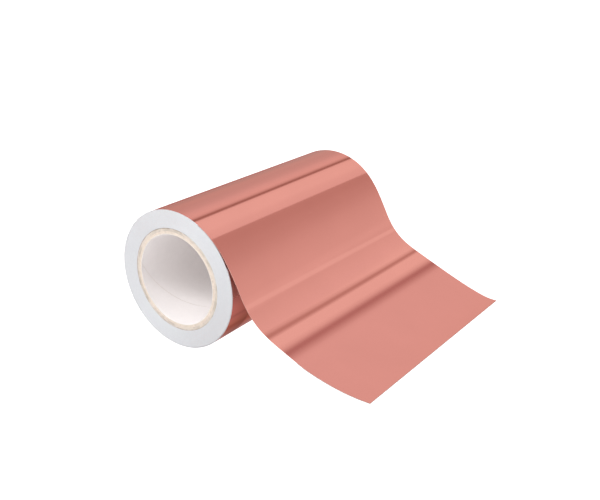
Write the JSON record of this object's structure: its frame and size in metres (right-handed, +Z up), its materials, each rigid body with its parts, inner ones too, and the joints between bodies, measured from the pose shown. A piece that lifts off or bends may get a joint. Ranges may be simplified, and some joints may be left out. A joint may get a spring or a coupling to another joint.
{
  "type": "copper foil tape roll",
  "caption": "Wide roll of adhesive-backed copper foil tape on a spiral cardboard core, with its loose end drawn off over the surface and the release liner still under it.",
  "frame": {"origin": "centre of the core's bore, midway between the roll's two end faces", "axes": "+Y along the roll's axis; +X the way the loose end of the tape leads off; +Z up from the surface that the roll lies on"},
  "size_m": [0.1598, 0.1525, 0.0776],
  "materials": {
    "copper_foil": "satin",
    "adhesive": "gloss",
    "release_liner": "satin",
    "tape_edges": "matte",
    "core_board": "matte",
    "white_paper": "matte"
  },
  "bodies": {
    "web": {"outer_turn_foil": "copper_foil", "outer_turn_adhesive": "adhesive", "outer_turn_liner": "release_liner"},
    "roll": {"wound_tape": "tape_edges", "starter_strip": "adhesive", "core_outer_ply": "white_paper", "core_body_ply_1": "core_board", "core_body_ply_2": "core_board", "core_body_ply_3": "core_board", "core_body_ply_4": "core_board", "core_inner_ply": "white_paper"},
    "tail": {"tail_foil": "copper_foil", "tail_adhesive": "adhesive", "tail_liner": "release_liner"},
    "liner_flap": {"liner_tab": "release_liner"}
  },
  "joints": [
    {"name": "roll_turn", "type": "hinge", "parent": "web", "child": "roll", "pos_m": [0, 0, 0], "axis": [0, 1, 0], "continuous": true},
    {"name": "tail_lift", "type": "hinge", "parent": "web", "child": "tail", "pos_m": [0.01761, 0, 0.03457], "axis": [0, 1, 0], "range_deg": [-60, 0]},
    {"name": "liner_peel", "type": "hinge", "parent": "tail", "child": "liner_flap", "pos_m": [0.0781, -0.00006, -0.02436], "axis": [0.0018, 1, 0.0064], "range_deg": [0, 120]}
  ]
}
